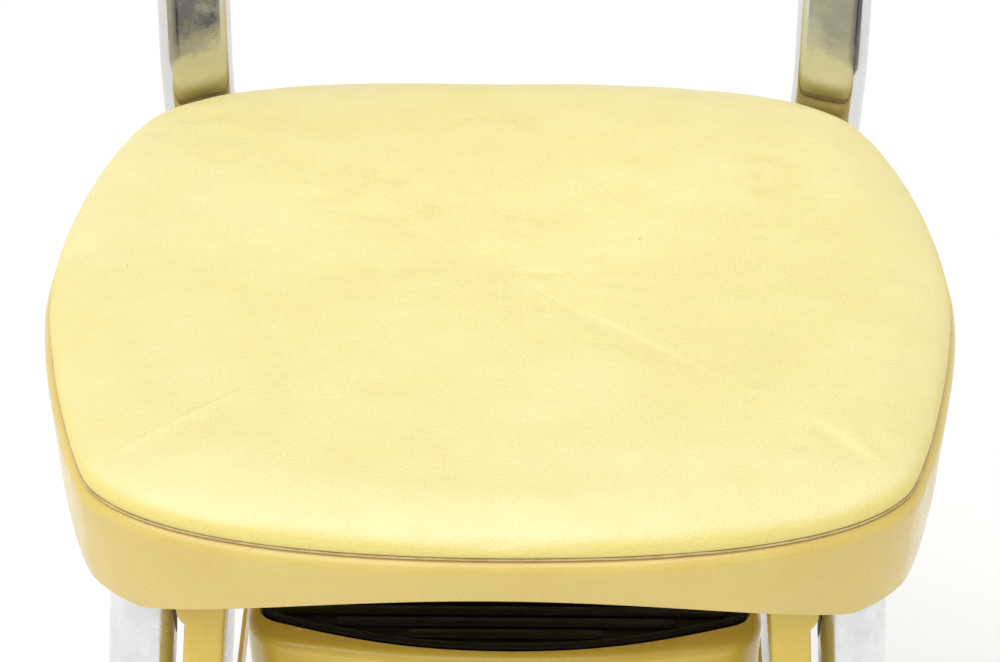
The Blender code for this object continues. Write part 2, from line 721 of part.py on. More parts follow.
UPPER_HALF_WIDTH = 0.112
LOWER_HALF_WIDTH = 0.131
add_tread("upper", UPPER_TREAD_Z, UPPER_HALF_WIDTH, -0.1545, 0.0275)
add_tread("lower", LOWER_TREAD_Z, LOWER_HALF_WIDTH, -0.2205, -0.0205)
add_tread_rod("upper_tread_rod", UPPER_TREAD_Z)
add_tread_rod("lower_tread_rod", LOWER_TREAD_Z)
for side_name, side in (("left", -1), ("right", 1)):
    add_rail(f"rail_{side_name}", side)
    add_rail_foot(f"rail_foot_{side_name}", side)
    add_strap(f"upper_strap_{side_name}", UPPER_TREAD_Z, UPPER_HALF_WIDTH, 0.010, side)
    add_strap(f"lower_strap_{side_name}", LOWER_TREAD_Z, LOWER_HALF_WIDTH, -0.040, side)
    add_link(f"upper_link_{side_name}", upper_pin, UPPER_ROD_Z, side, upper_axis)
    add_link(f"lower_link_{side_name}", lower_pin, LOWER_ROD_Z, side, lower_axis)
    add_pin(f"upper_pin_{side_name}", upper_pin, side)
    add_pin(f"lower_pin_{side_name}", lower_pin, side)
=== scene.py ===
"""Looks of the yellow kitchen step chair: fine meshes and worn materials round the CAD frame."""
import json
import math

import bmesh
import bpy
from mathutils import Matrix, Vector, noise


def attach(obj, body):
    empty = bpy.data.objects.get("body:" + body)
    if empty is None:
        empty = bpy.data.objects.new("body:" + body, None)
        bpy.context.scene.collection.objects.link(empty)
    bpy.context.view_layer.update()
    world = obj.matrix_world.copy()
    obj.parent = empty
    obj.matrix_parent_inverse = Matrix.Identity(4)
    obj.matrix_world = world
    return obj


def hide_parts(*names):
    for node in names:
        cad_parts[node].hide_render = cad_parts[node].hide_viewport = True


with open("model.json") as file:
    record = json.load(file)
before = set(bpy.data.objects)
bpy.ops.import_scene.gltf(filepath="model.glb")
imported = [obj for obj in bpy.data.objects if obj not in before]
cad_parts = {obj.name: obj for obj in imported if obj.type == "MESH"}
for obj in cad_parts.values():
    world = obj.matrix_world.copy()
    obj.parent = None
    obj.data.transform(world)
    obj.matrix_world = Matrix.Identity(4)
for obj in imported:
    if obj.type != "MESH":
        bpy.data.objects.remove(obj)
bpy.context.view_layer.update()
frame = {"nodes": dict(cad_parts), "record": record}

SEAM_Z = 0.600
SEAT_MIDDLE = Vector((0.0, -0.028, 0.0))
SIDES = (("left", -1), ("right", 1))
PAD_SHARP = 70
CLOTH_FRAMES = 20


# ---------------------------------------------------------------- mesh helpers
def put(name, bm, material, body, replaced=(), sharp=38):
    """Makes a smooth-shaded piece of the bmesh and lets it ride on a body."""
    bmesh.ops.remove_doubles(bm, verts=bm.verts, dist=1e-6)
    bmesh.ops.recalc_face_normals(bm, faces=bm.faces)
    mesh = bpy.data.meshes.new(name)
    bm.to_mesh(mesh)
    bm.free()
    mesh.shade_smooth()
    mesh.set_sharp_from_angle(angle=math.radians(sharp))
    made = bpy.data.objects.new(name, mesh)
    bpy.context.scene.collection.objects.link(made)
    mesh.materials.append(material)
    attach(made, body)
    if replaced:
        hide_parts(*replaced)
    return made


def ladder(bm, loop):
    """Fills a loop that is symmetric top to bottom with rungs, so the cap can curve."""
    count = len(loop)
    for i in range(count // 2):
        corners = [loop[i], loop[i + 1], loop[count - i - 1], loop[-i]]
        bm.faces.new(list(dict.fromkeys(corners)))


def skin(rings, caps="flat", closed=False):
    """A bmesh through rings of equal counts. caps is flat or ladder; closed joins last to first instead."""
    bm = bmesh.new()
    loops = [[bm.verts.new(point) for point in ring] for ring in rings]
    count = len(loops[0])
    pairs = list(zip(loops, loops[1:]))
    if closed:
        pairs.append((loops[-1], loops[0]))
    for low, high in pairs:
        for i in range(count):
            j = (i + 1) % count
            bm.faces.new((low[i], low[j], high[j], high[i]))
    if not closed:
        for loop in (loops[0], loops[-1]):
            if caps == "ladder":
                ladder(bm, loop)
            else:
                bm.faces.new(loop)
    return bm


def bezier(start, handle_a, handle_b, end, steps):
    """Points along a cubic curve, without its end."""
    points = []
    for i in range(steps):
        t = i / steps
        s = 1 - t
        points.append(s**3 * start + 3 * s * s * t * handle_a + 3 * s * t * t * handle_b + t**3 * end)
    return points


def outward(points):
    """The outward direction at each point of a closed outline that runs anticlockwise."""
    normals = []
    count = len(points)
    for i in range(count):
        run = (points[(i + 1) % count] - points[i - 1]).normalized()
        normals.append(Vector((run.y, -run.x)))
    return normals


def grown(points, amount):
    return [p + amount * way for p, way in zip(points, outward(points))]


def mirrored(half):
    return half + [Vector((-p.x, p.y)) for p in reversed(half[1:-1])]


def at_height(points, z):
    return [Vector((p.x, p.y, z)) for p in points]


def circle(center, radius, sides):
    """A level circle."""
    points = []
    for i in range(sides):
        angle = math.tau * i / sides
        points.append(center + Vector((radius * math.cos(angle), radius * math.sin(angle), 0)))
    return points


def angles(start, stop, step):
    return [math.radians(turn) for turn in range(start, stop, step)]


# ---------------------------------------------------------------- material helpers
SPOT_CORE = 0.3


class Paint:
    """A Principled material whose detail comes from noise in the piece's own metres."""

    def __init__(self, name, color, roughness, metallic=0.0):
        self.material = bpy.data.materials.new(name)
        self.material.use_nodes = True
        self.tree = self.material.node_tree
        self.shader = self.tree.nodes["Principled BSDF"]
        self.shader.inputs["Base Color"].default_value = (*color, 1.0)
        self.shader.inputs["Roughness"].default_value = roughness
        self.shader.inputs["Metallic"].default_value = metallic
        self.place = self.tree.nodes.new("ShaderNodeTexCoord").outputs["Object"]
        self.last_bump = None

    def link(self, value, socket):
        if isinstance(value, bpy.types.NodeSocket):
            self.tree.links.new(value, socket)
        elif isinstance(value, tuple) and socket.type == "RGBA":
            socket.default_value = (*value, 1.0)
        else:
            socket.default_value = value

    def scaled(self, stretch):
        mapping = self.tree.nodes.new("ShaderNodeMapping")
        mapping.inputs["Scale"].default_value = stretch
        self.tree.links.new(self.place, mapping.inputs["Vector"])
        return mapping.outputs["Vector"]

    def noise(self, scale, detail=3.0, rough=0.5, stretch=(1, 1, 1), twist=0.0):
        made = self.tree.nodes.new("ShaderNodeTexNoise")
        made.inputs["Scale"].default_value = scale
        made.inputs["Detail"].default_value = detail
        made.inputs["Roughness"].default_value = rough
        made.inputs["Distortion"].default_value = twist
        self.tree.links.new(self.scaled(stretch), made.inputs["Vector"])
        return made.outputs["Fac"]

    def cells(self, scale):
        """Distance to the nearest of many scattered points."""
        made = self.tree.nodes.new("ShaderNodeTexVoronoi")
        made.inputs["Scale"].default_value = scale
        self.tree.links.new(self.place, made.inputs["Vector"])
        return made.outputs["Distance"]

    def fade(self, value, low, high, to_low=0.0, to_high=1.0):
        made = self.tree.nodes.new("ShaderNodeMapRange")
        made.interpolation_type = "SMOOTHSTEP"
        made.inputs["From Min"].default_value = low
        made.inputs["From Max"].default_value = high
        made.inputs["To Min"].default_value = to_low
        made.inputs["To Max"].default_value = to_high
        self.link(value, made.inputs["Value"])
        return made.outputs["Result"]

    def math(self, kind, a, b=0.0):
        made = self.tree.nodes.new("ShaderNodeMath")
        made.operation = kind
        self.link(a, made.inputs[0])
        self.link(b, made.inputs[1])
        return made.outputs[0]

    def freckles(self, scale, size, gather_scale, gather):
        """Small dots that gather where a wide noise passes gather."""
        dots = self.fade(self.cells(scale), size[0], size[1], 1.0, 0.0)
        rare = self.fade(self.noise(gather_scale[0], gather_scale[1], gather_scale[2]), gather[0], gather[1])
        return self.math("MULTIPLY", dots, rare)

    def spot(self, center, radius):
        """1 inside a ball round center, fading to 0 at its radius."""
        made = self.tree.nodes.new("ShaderNodeVectorMath")
        made.operation = "DISTANCE"
        self.tree.links.new(self.place, made.inputs[0])
        made.inputs[1].default_value = center
        return self.fade(made.outputs["Value"], radius * SPOT_CORE, radius, 1.0, 0.0)

    def mix(self, share, a, b):
        made = self.tree.nodes.new("ShaderNodeMix")
        made.data_type = "RGBA"
        self.link(share, made.inputs[0])
        self.link(a, made.inputs[6])
        self.link(b, made.inputs[7])
        return made.outputs[2]

    def color(self, value):
        self.link(value, self.shader.inputs["Base Color"])

    def rough(self, value):
        self.link(value, self.shader.inputs["Roughness"])

    def bump(self, height, distance, strength=1.0):
        made = self.tree.nodes.new("ShaderNodeBump")
        made.inputs["Distance"].default_value = distance
        made.inputs["Strength"].default_value = strength
        self.link(height, made.inputs["Height"])
        if self.last_bump is not None:
            self.tree.links.new(self.last_bump, made.inputs["Normal"])
        self.last_bump = made.outputs["Normal"]
        self.link(self.last_bump, self.shader.inputs["Normal"])

    def set(self, name, value):
        self.shader.inputs[name].default_value = value


# ---------------------------------------------------------------- materials
VINYL_LIGHT = (0.840, 0.765, 0.375)
VINYL_DEEP = (0.805, 0.720, 0.310)
VINYL_MOTTLE = (0.805, 0.700, 0.290)
VINYL_STAIN = (0.780, 0.610, 0.190)
VINYL_SPECK = (0.30, 0.17, 0.05)
# Deeper, more saturated yellow painted where the seat cover faces sideways: painted shade and yellow bounce
# light.
VINYL_SIDE_SHADE = (0.830, 0.690, 0.170)
STAINS = (((-0.050, 0.025, 0.615), 0.045), ((0.005, -0.005, 0.615), 0.040), ((0.024, -0.040, 0.615), 0.022),
          ((-0.006, 0.085, 0.615), 0.030), ((0.120, 0.045, 0.613), 0.026))
GRIME = (0.42, 0.30, 0.10)
RUST = (0.22, 0.085, 0.02)
HAZED_CHROME = (0.68, 0.69, 0.70)
CHROME_PIT = (0.12, 0.11, 0.10)
# Two dark greys painted on the pressed inner flat of the front legs: painted shade.
PRESSED_SHADE_LIGHT = (0.26, 0.275, 0.29)
PRESSED_SHADE_DARK = (0.12, 0.125, 0.13)
PRESSED_FROM_Z = 0.515
RUBBER_BLACK = (0.006, 0.0045, 0.0025)
RUBBER_DUST = (0.035, 0.025, 0.014)
RUBBER_CRUMB = (0.30, 0.20, 0.10)
ZINC_LIGHT = (0.52, 0.52, 0.50)
ZINC_DARK = (0.32, 0.28, 0.22)


def vinyl_paint(name, rolled=True):
    """Pale yellow vinyl: pebbled grain, fine creases, aged blotches, a few specks and, where rolled is set,
    painted shade on the sideways-facing sides.
    """
    paint = Paint(name, VINYL_LIGHT, 0.42)
    clouds = paint.fade(paint.noise(9.0, 4, 0.6, (1, 1.6, 1)), 0.35, 0.68)
    color = paint.mix(clouds, VINYL_LIGHT, VINYL_DEEP)
    mottle = paint.fade(paint.noise(60.0, 5, 0.65), 0.45, 0.75, 0.0, 0.35)
    color = paint.mix(mottle, color, VINYL_MOTTLE)
    stain = None
    for center, radius in STAINS:
        ball = paint.spot(center, radius)
        stain = ball if stain is None else paint.math("MAXIMUM", stain, ball)
    patchy = paint.fade(paint.noise(75.0, 5, 0.72, (0.6, 1, 1)), 0.46, 0.66, 0.0, 0.42)
    color = paint.mix(paint.math("MULTIPLY", stain, patchy), color, VINYL_STAIN)
    specks = paint.freckles(95.0, (0.030, 0.045), (20.0, 2, 0.5), (0.66, 0.70))
    color = paint.mix(specks, color, VINYL_SPECK)
    # Sideways-facing parts of the cover are painted deeper yellow by their normal: painted shade and bounce
    # light on the rolled-over sides.
    if rolled:
        tilt = paint.tree.nodes.new("ShaderNodeSeparateXYZ")
        facing = paint.tree.nodes.new("ShaderNodeTexCoord")
        paint.tree.links.new(facing.outputs["Normal"], tilt.inputs[0])
        edge = paint.fade(tilt.outputs["Z"], 0.45, 0.93, 0.75, 0.0)
        color = paint.mix(edge, color, VINYL_SIDE_SHADE)
    paint.color(color)
    paint.rough(paint.fade(paint.noise(30.0, 3, 0.6), 0.3, 0.7, 0.36, 0.52))
    creases = paint.noise(70.0, 6, 0.72, (0.45, 1.0, 1.0), 0.8)
    paint.bump(creases, 0.0014, 0.34)
    pebbles = paint.fade(paint.cells(820.0), 0.15, 0.75)
    paint.bump(pebbles, 0.00018, 0.55)
    paint.set("Coat Weight", 0.10)
    paint.set("Coat Roughness", 0.30)
    return paint.material


def enamel_paint(name, base, shade):
    """Baked enamel over steel: slight orange peel, faint dirt and rust freckles."""
    paint = Paint(name, base, 0.30)
    color = paint.mix(paint.fade(paint.noise(14.0, 4, 0.6), 0.35, 0.7), base, shade)
    dirt = paint.fade(paint.noise(38.0, 6, 0.75), 0.60, 0.85, 0.0, 0.22)
    color = paint.mix(dirt, color, GRIME)
    freckles = paint.freckles(120.0, (0.035, 0.055), (24.0, 2, 0.5), (0.62, 0.66))
    color = paint.mix(freckles, color, RUST)
    paint.color(color)
    paint.rough(paint.fade(paint.noise(45.0, 4, 0.6), 0.3, 0.7, 0.22, 0.38))
    paint.bump(paint.noise(25.0, 2, 0.5), 0.0006, 0.30)
    paint.bump(paint.noise(420.0, 2, 0.5), 0.00006, 0.35)
    paint.set("Coat Weight", 0.25)
    paint.set("Coat Roughness", 0.12)
    return paint.material


def chrome_paint(name, base, dull, pressed_x=None):
    """Old plating: clouded patches, fine pits and scuffs, and painted shade, a mottled dark grey, on a leg's
    rougher pressed flat.
    """
    paint = Paint(name, base, 0.2, 1.0)
    haze = paint.fade(paint.noise(42.0, 6, 0.7, (1, 1, 0.7)), 0.40, 0.66)
    color = paint.mix(haze, base, HAZED_CHROME)
    pits = paint.freckles(330.0, (0.05, 0.10), (60.0, 3, 0.6), (0.58, 0.64))
    color = paint.mix(pits, color, CHROME_PIT)
    rough = paint.fade(paint.noise(36.0, 6, 0.72), 0.35, 0.68, dull, dull + 0.24)
    if pressed_x is not None:
        # The pressed inner flat of a front leg, under the seat, is painted mottled dark grey as painted
        # shade, and is made rougher.
        axes = paint.tree.nodes.new("ShaderNodeSeparateXYZ")
        paint.tree.links.new(paint.place, axes.inputs[0])
        inside = paint.math("LESS_THAN", paint.math("ABSOLUTE", axes.outputs["X"]), pressed_x)
        high = paint.math("GREATER_THAN", axes.outputs["Z"], PRESSED_FROM_Z)
        front = paint.math("LESS_THAN", axes.outputs["Y"], 0.0)
        pressed = paint.math("MULTIPLY", paint.math("MULTIPLY", inside, high), front)
        pressed_shade_mottle = paint.fade(paint.noise(150.0, 5, 0.7, (1, 1, 0.5)), 0.35, 0.65)
        color = paint.mix(pressed, color, paint.mix(pressed_shade_mottle, PRESSED_SHADE_LIGHT, PRESSED_SHADE_DARK))
        rough = paint.math("MAXIMUM", rough, paint.math("MULTIPLY", pressed, 0.62))
    paint.color(color)
    paint.rough(rough)
    paint.bump(paint.noise(30.0, 3, 0.55), 0.0006, 0.12 + dull)
    paint.bump(paint.noise(260.0, 4, 0.6), 0.00008, 0.4)
    return paint.material


def rubber_paint(name):
    """Black rubber with a little dust and a few crumbs caught in it."""
    paint = Paint(name, RUBBER_BLACK, 0.5)
    paint.set("Specular IOR Level", 0.20)
    dust = paint.fade(paint.noise(85.0, 6, 0.75), 0.50, 0.80, 0.0, 0.25)
    color = paint.mix(dust, RUBBER_BLACK, RUBBER_DUST)
    crumbs = paint.freckles(160.0, (0.05, 0.07), (40.0, 2, 0.5), (0.60, 0.64))
    color = paint.mix(crumbs, color, RUBBER_CRUMB)
    paint.color(color)
    paint.rough(paint.fade(paint.noise(50.0, 4, 0.6), 0.3, 0.7, 0.34, 0.62))
    paint.bump(paint.noise(500.0, 3, 0.6), 0.00012, 0.5)
    return paint.material


def zinc_paint(name):
    """Plain zinc plate, dulled in patches and brushed across."""
    paint = Paint(name, ZINC_LIGHT, 0.35, 1.0)
    dulled = paint.fade(paint.noise(70.0, 5, 0.7), 0.4, 0.7)
    paint.color(paint.mix(dulled, ZINC_LIGHT, ZINC_DARK))
    paint.rough(paint.fade(paint.noise(90.0, 5, 0.7), 0.3, 0.7, 0.28, 0.52))
    paint.bump(paint.noise(600.0, 2, 0.5, (0.1, 1, 1)), 0.00005, 0.5)
    return paint.material


def plain_paint(name, light, dark, scale, rough):
    """Two tones mixed by noise: foam, fibreboard and the cut edge of the vinyl."""
    paint = Paint(name, light, rough)
    paint.color(paint.mix(paint.fade(paint.noise(scale, 5, 0.7), 0.4, 0.65), light, dark))
    paint.bump(paint.noise(scale * 3, 3, 0.6), 0.0003, 0.6)
    return paint.material


VINYL = vinyl_paint("vinyl_seat")
VINYL_BACK = vinyl_paint("vinyl_back", rolled=False)
ENAMEL = enamel_paint("yellow_enamel", (0.730, 0.555, 0.155), (0.690, 0.510, 0.130))
# The rails and treads get a deeper, more saturated copy of the same enamel: painted yellow bounce light from
# the parts around them.
ENAMEL_STEPS_PAINTED_BOUNCE = enamel_paint("yellow_enamel_steps_painted_bounce", (0.745, 0.540, 0.080), (0.690, 0.480, 0.064))
CHROME_LEG = chrome_paint("worn_chrome", (0.78, 0.79, 0.80), 0.16, 0.13565)
CHROME_BACK = chrome_paint("bright_chrome", (0.66, 0.65, 0.61), 0.035)
RUBBER = rubber_paint("black_rubber")
ZINC = zinc_paint("zinc_plate")
FOAM = plain_paint("pad_foam", (0.78, 0.66, 0.36), (0.62, 0.50, 0.24), 300.0, 0.95)
BOARD = plain_paint("fibreboard", (0.30, 0.18, 0.09), (0.20, 0.12, 0.06), 150.0, 0.85)
CUT_EDGE = plain_paint("vinyl_cut_edge", (0.64, 0.50, 0.29), (0.50, 0.37, 0.17), 120.0, 0.7)

BY_SLOT = {"vinyl": VINYL, "foam": FOAM, "board": BOARD, "rubber": RUBBER, "chrome": CHROME_LEG,
           "zinc": ZINC, "yellow_paint": ENAMEL, "dark_paint": ENAMEL}
for subpart in frame["record"]["subparts"]:
    node = frame["nodes"][subpart["node"]]
    node.data.materials.clear()
    node.data.materials.append(BY_SLOT[subpart["material_slot"]])


# ---------------------------------------------------------------- seat
SEAT_STEPS = 24


def heading(degrees):
    return Vector((math.cos(math.radians(degrees)), math.sin(math.radians(degrees))))


def seat_outline(grow):
    """Plan of the seat: nearly straight back, wide middle, tapering to a bowed front."""
    front = Vector((0, -0.1878))
    corner = Vector((0.1633, -0.1507))
    side = Vector((0.1971, -0.0211))
    rear_corner = Vector((0.1735, 0.0911))
    rear = Vector((0, 0.1323))
    corner_way = heading(50)
    rear_way = heading(117)
    half = bezier(front, front + Vector((0.074, 0)), corner - 0.036 * corner_way, corner, SEAT_STEPS)
    half += bezier(corner, corner + 0.014 * corner_way, side - Vector((0, 0.040)), side, SEAT_STEPS)
    half += bezier(side, side + Vector((0, 0.047)), rear_corner - 0.026 * rear_way, rear_corner, SEAT_STEPS)
    half += bezier(rear_corner, rear_corner + 0.038 * rear_way, rear + Vector((0.094, 0)), rear, SEAT_STEPS)
    half.append(rear)
    return grown(mirrored(half), grow)


PAN_GROW = 0.0040
PAN_WALL = 0.0014
PAN_TOP_Z = SEAM_Z - 0.0012
SHOULDER = 0.0060
LID_HOLE_GROW = -0.030
HEM_RISE = 0.003
APRON_CORNER_X = 0.145
APRON_DEEP = 0.049
APRON_FRONT_MIDDLE = 0.020
APRON_REAR_MIDDLE = 0.032
APRON_FRONT_Y = -0.10
APRON_REAR_Y = 0.07


def apron_depth(point):
    """The apron is low in the middle of the front and deep at the corners and sides."""
    share = min(abs(point.x) / APRON_CORNER_X, 1.0) ** 2
    if point.y < APRON_FRONT_Y:
        return APRON_FRONT_MIDDLE + (APRON_DEEP - APRON_FRONT_MIDDLE) * share
    if point.y > APRON_REAR_Y:
        return APRON_REAR_MIDDLE + (APRON_DEEP - APRON_REAR_MIDDLE) * share
    return APRON_DEEP


def seat_pan():
    """Pressed lid with a rounded shoulder, an arched apron and a small rolled hem."""
    edge = seat_outline(PAN_GROW)
    depths = [apron_depth(p) for p in edge]

    def hanging(grow, up):
        return [Vector((p.x, p.y, SEAM_Z - d + up)) for p, d in zip(seat_outline(grow), depths)]

    rings = [at_height(seat_outline(LID_HOLE_GROW), PAN_TOP_Z)]
    for angle in angles(90, -1, -10):
        rings.append(at_height(seat_outline(PAN_GROW - SHOULDER * (1 - math.cos(angle))),
                               PAN_TOP_Z - SHOULDER * (1 - math.sin(angle))))
    for share in (0.25, 0.5, 0.75):
        top = PAN_TOP_Z - SHOULDER
        rings.append([Vector((p.x, p.y, top + (SEAM_Z - d + HEM_RISE - top) * share))
                      for p, d in zip(edge, depths)])
    inner_grow = PAN_GROW - PAN_WALL
    half_wall = PAN_WALL / 2
    for angle in angles(0, -181, -20):
        rings.append(hanging(PAN_GROW - half_wall + half_wall * math.cos(angle),
                             half_wall * (1 + math.sin(angle))))
    bend = SHOULDER - PAN_WALL
    for angle in angles(0, 91, 15):
        rings.append(at_height(seat_outline(inner_grow - bend * (1 - math.cos(angle))),
                               PAN_TOP_Z - PAN_WALL - bend * (1 - math.sin(angle))))
    rings.append(at_height(seat_outline(LID_HOLE_GROW), PAN_TOP_Z - PAN_WALL))
    put("seat_pan_enamel", skin(rings), ENAMEL, "frame", ("seat_pan",))


def shrunk(points, share, z):
    return [Vector((SEAT_MIDDLE.x + (p.x - SEAT_MIDDLE.x) * share,
                    SEAT_MIDDLE.y + (p.y - SEAT_MIDDLE.y) * share, z)) for p in points]


def puff(piece, held, pressure, cap):
    """Blows a pad up from inside with a short cloth run, keeping each point within cap of its place."""
    group = piece.vertex_groups.new(name="held")
    group.add(held, 1.0, "REPLACE")
    cloth = piece.modifiers.new("cloth", "CLOTH")
    cloth.settings.vertex_group_mass = "held"
    cloth.settings.use_pressure = True
    cloth.settings.uniform_pressure_force = pressure
    cloth.settings.effector_weights.gravity = 0
    cloth.settings.tension_stiffness = 30
    cloth.settings.compression_stiffness = 30
    cloth.settings.bending_stiffness = 0.6
    cloth.point_cache.frame_start = 1
    cloth.point_cache.frame_end = CLOTH_FRAMES
    scene = bpy.context.scene
    for step in range(1, CLOTH_FRAMES + 1):
        scene.frame_set(step)
    graph = bpy.context.evaluated_depsgraph_get()
    blown = piece.evaluated_get(graph).to_mesh()
    moved = []
    for before, after in zip(piece.data.vertices, blown.vertices):
        shift = after.co - before.co
        if shift.length > cap:
            shift *= cap / shift.length
        moved.append(before.co + shift)
    piece.evaluated_get(graph).to_mesh_clear()
    piece.modifiers.remove(cloth)
    for vertex, place in zip(piece.data.vertices, moved):
        vertex.co = place
    scene.frame_set(1)


def wrinkle(piece, amount, keep_below=None):
    """Pushes the cover in and out a little along its normals: soft waves and short crosswise creases."""
    for vertex in piece.data.vertices:
        p = vertex.co
        waves = noise.noise(Vector((p.x * 14, p.y * 26, p.z * 14)))
        creases = noise.turbulence(Vector((p.x * 34, p.y * 95, p.z * 40)), 3, False)
        push = amount * (0.6 * waves - 0.8 * abs(creases))
        if keep_below is not None:
            push *= min(1.0, max(0.0, (p.z - keep_below) / 0.006))
        vertex.co = p + push * vertex.normal


def finish_pad(pad):
    """Smooths the pad once more."""
    finer = pad.modifiers.new("finer", "SUBSURF")
    finer.levels = 1
    finer.render_levels = 1


def seat_pad():
    """The vinyl cover drawn over foam: steep rounded edge, crowned top, gathered at the front corners."""
    base_z = SEAM_Z - 0.0004
    levels = ((0.0, 0.0), (0.0005, 0.0014), (0.0008, 0.0030), (0.0006, 0.0048), (-0.0002, 0.0066),
              (-0.0016, 0.0084), (-0.0038, 0.0101), (-0.0068, 0.0115), (-0.0105, 0.0126), (-0.0150, 0.0134))
    rings = [at_height(seat_outline(grow), base_z + rise) for grow, rise in levels]
    inner = seat_outline(-0.0150)
    for i in range(1, 34):
        share = 1.0 - i / 34
        rings.append(shrunk(inner, share, base_z + 0.0134 + 0.0022 * (1 - share**2)))
    bottom = [at_height(seat_outline(grow), base_z) for grow in (-0.012, -0.005)]
    pad = put("seat_pad", skin(bottom + rings), VINYL, "frame", ("seat_cover",),
              sharp=PAD_SHARP)
    held = [v.index for v in pad.data.vertices if v.co.z < base_z + 0.0020]
    puff(pad, held, 1.6, 0.0012)
    wrinkle(pad, 0.0007, base_z)
    finish_pad(pad)


def cut_edge():
    """The trimmed edge of the vinyl, a thin tan line that shows all round under the pad."""
    rings = []
    for grow, z in ((0.0002, -0.0006), (0.0007, -0.0006), (0.0009, -0.0003), (0.0007, 0.0001),
                    (0.0002, 0.0001)):
        ring = []
        for p in seat_outline(grow):
            wave = 0.0003 * noise.noise(Vector((p.x * 60, p.y * 60, 3.0)))
            ring.append(Vector((p.x, p.y, SEAM_Z + z + wave)))
        rings.append(ring)
    put("seat_cover_cut_edge", skin(rings, closed=True), CUT_EDGE, "frame")


seat_pan()
seat_pad()
cut_edge()

# ---------------------------------------------------------------- legs
LEG_RADIUS = 0.0143
LEG_WALL = 0.0015
FOOT_X = 0.1996
FOOT_Y = 0.2225
LEG_TOP_Z = 0.578
FRONT_LEG_TOP = (0.1440, -0.1413)
REAR_LEG_TOP = (0.1350, 0.0930)
FLAT_START_Z = 0.519
FLAT_X = 0.1353
FLAT_BLEND = 0.004
FLAT_INSET = 0.006
FLAT_CROWN = 0.1


def leg_center(top, z, side=1):
    share = z / LEG_TOP_Z
    foot_y = math.copysign(FOOT_Y, top[1])
    return Vector((side * (FOOT_X + (top[0] - FOOT_X) * share), foot_y + (top[1] - foot_y) * share, z))


def leg_ring(top, z, side, radius, wall, flat):
    ring = circle(leg_center(top, z, side), radius, sides=72)
    if not flat or z < FLAT_START_Z - FLAT_BLEND:
        return ring
    limit = FLAT_X + wall
    limit -= FLAT_INSET * max(0.0, (FLAT_START_Z + FLAT_BLEND - z) / (2 * FLAT_BLEND))
    for point in ring:
        if side * point.x < limit:
            point.x = side * (limit - FLAT_CROWN * (limit - side * point.x))
    return ring


def leg(name, top, side, flat):
    """Chromed tube; a front leg is pressed flat on its inner side under the seat."""
    levels = [0.0053, 0.0065, 0.10, 0.20, 0.30, 0.40, 0.48, 0.505, 0.511, 0.515, 0.519, 0.523, 0.527, 0.535,
              0.545, 0.555, 0.565, 0.573, LEG_TOP_Z]
    outer = [leg_ring(top, z, side, LEG_RADIUS, 0.0, flat) for z in levels]
    inner = [leg_ring(top, z, side, LEG_RADIUS - LEG_WALL, LEG_WALL, flat) for z in levels]
    put(name + "_tube", skin(outer + list(reversed(inner)), closed=True), CHROME_LEG, "frame",
        (name,))


def tip(name, top, side):
    """Rubber cup with two raised bands and a rounded tread."""
    profile = ((0.0, 0.0), (0.0, 0.0125), (0.0003, 0.0146), (0.0012, 0.0160), (0.0028, 0.0167),
               (0.0050, 0.0168),
               (0.0062, 0.0162), (0.0074, 0.0162), (0.0084, 0.0168), (0.0175, 0.0166), (0.0184, 0.0160),
               (0.0193, 0.0160), (0.0202, 0.0165), (0.0228, 0.0163), (0.0238, 0.0158), (0.0240, 0.0150),
               (0.0236, 0.0146), (0.0060, 0.0146))
    rings = [circle(leg_center(top, z, side), max(radius, 0.0005), sides=56) for z, radius in profile]
    put(name + "_cup", skin(rings), RUBBER, "frame", (name,))


for side_name, side in SIDES:
    leg(f"front_leg_{side_name}", FRONT_LEG_TOP, side, True)
    leg(f"rear_leg_{side_name}", REAR_LEG_TOP, side, False)
    tip(f"front_tip_{side_name}", FRONT_LEG_TOP, side)
    tip(f"rear_tip_{side_name}", REAR_LEG_TOP, side)

# ---------------------------------------------------------------- back
BACK_RADIUS = 0.372
BACK_TILT = math.radians(17)
BACK_BEND_Z = 0.618
UPRIGHT_X = 0.1547
BACK_OFFSET_X = 0.0055
UPRIGHT_Y = 0.1285
UPRIGHT_TURN = math.radians(24.1)
UPRIGHT_HALF_WIDTH = 0.018
UPRIGHT_HALF_THICK = 0.008
UPRIGHT_WALL = 0.0015
UPRIGHT_LOW_Z = 0.545
UPRIGHT_REACH = 0.2150
UPRIGHT_DOME = 0.006
UPRIGHT_DOME_INSET = 0.0062
BEND_RADIUS = 0.06
LEAN = Matrix.Rotation(-BACK_TILT, 3, "X")
BEND_POINT = Vector((0, UPRIGHT_Y, BACK_BEND_Z))


STADIUM_STEPS = 20


def stadium(half_width, half_thick):
    """A flat oval with round ends, as points (along width, along thickness)."""
    straight = half_width - half_thick
    points = []
    for middle, start in ((straight, -90), (-straight, 90)):
        for i in range(STADIUM_STEPS + 1):
            angle = math.radians(start + 180 * i / STADIUM_STEPS)
            points.append((middle + half_thick * math.cos(angle), half_thick * math.sin(angle)))
    return points


def upright_ring(y, z, lean, side, inset):
    tilt = Matrix.Rotation(-lean, 3, "X")
    wide = tilt @ Vector((math.cos(UPRIGHT_TURN), -side * math.sin(UPRIGHT_TURN), 0))
    thick = tilt @ Vector((side * math.sin(UPRIGHT_TURN), math.cos(UPRIGHT_TURN), 0))
    middle = Vector((BACK_OFFSET_X + side * UPRIGHT_X, y, z))
    return [middle + u * wide + v * thick
            for u, v in stadium(UPRIGHT_HALF_WIDTH - inset, UPRIGHT_HALF_THICK - inset)]


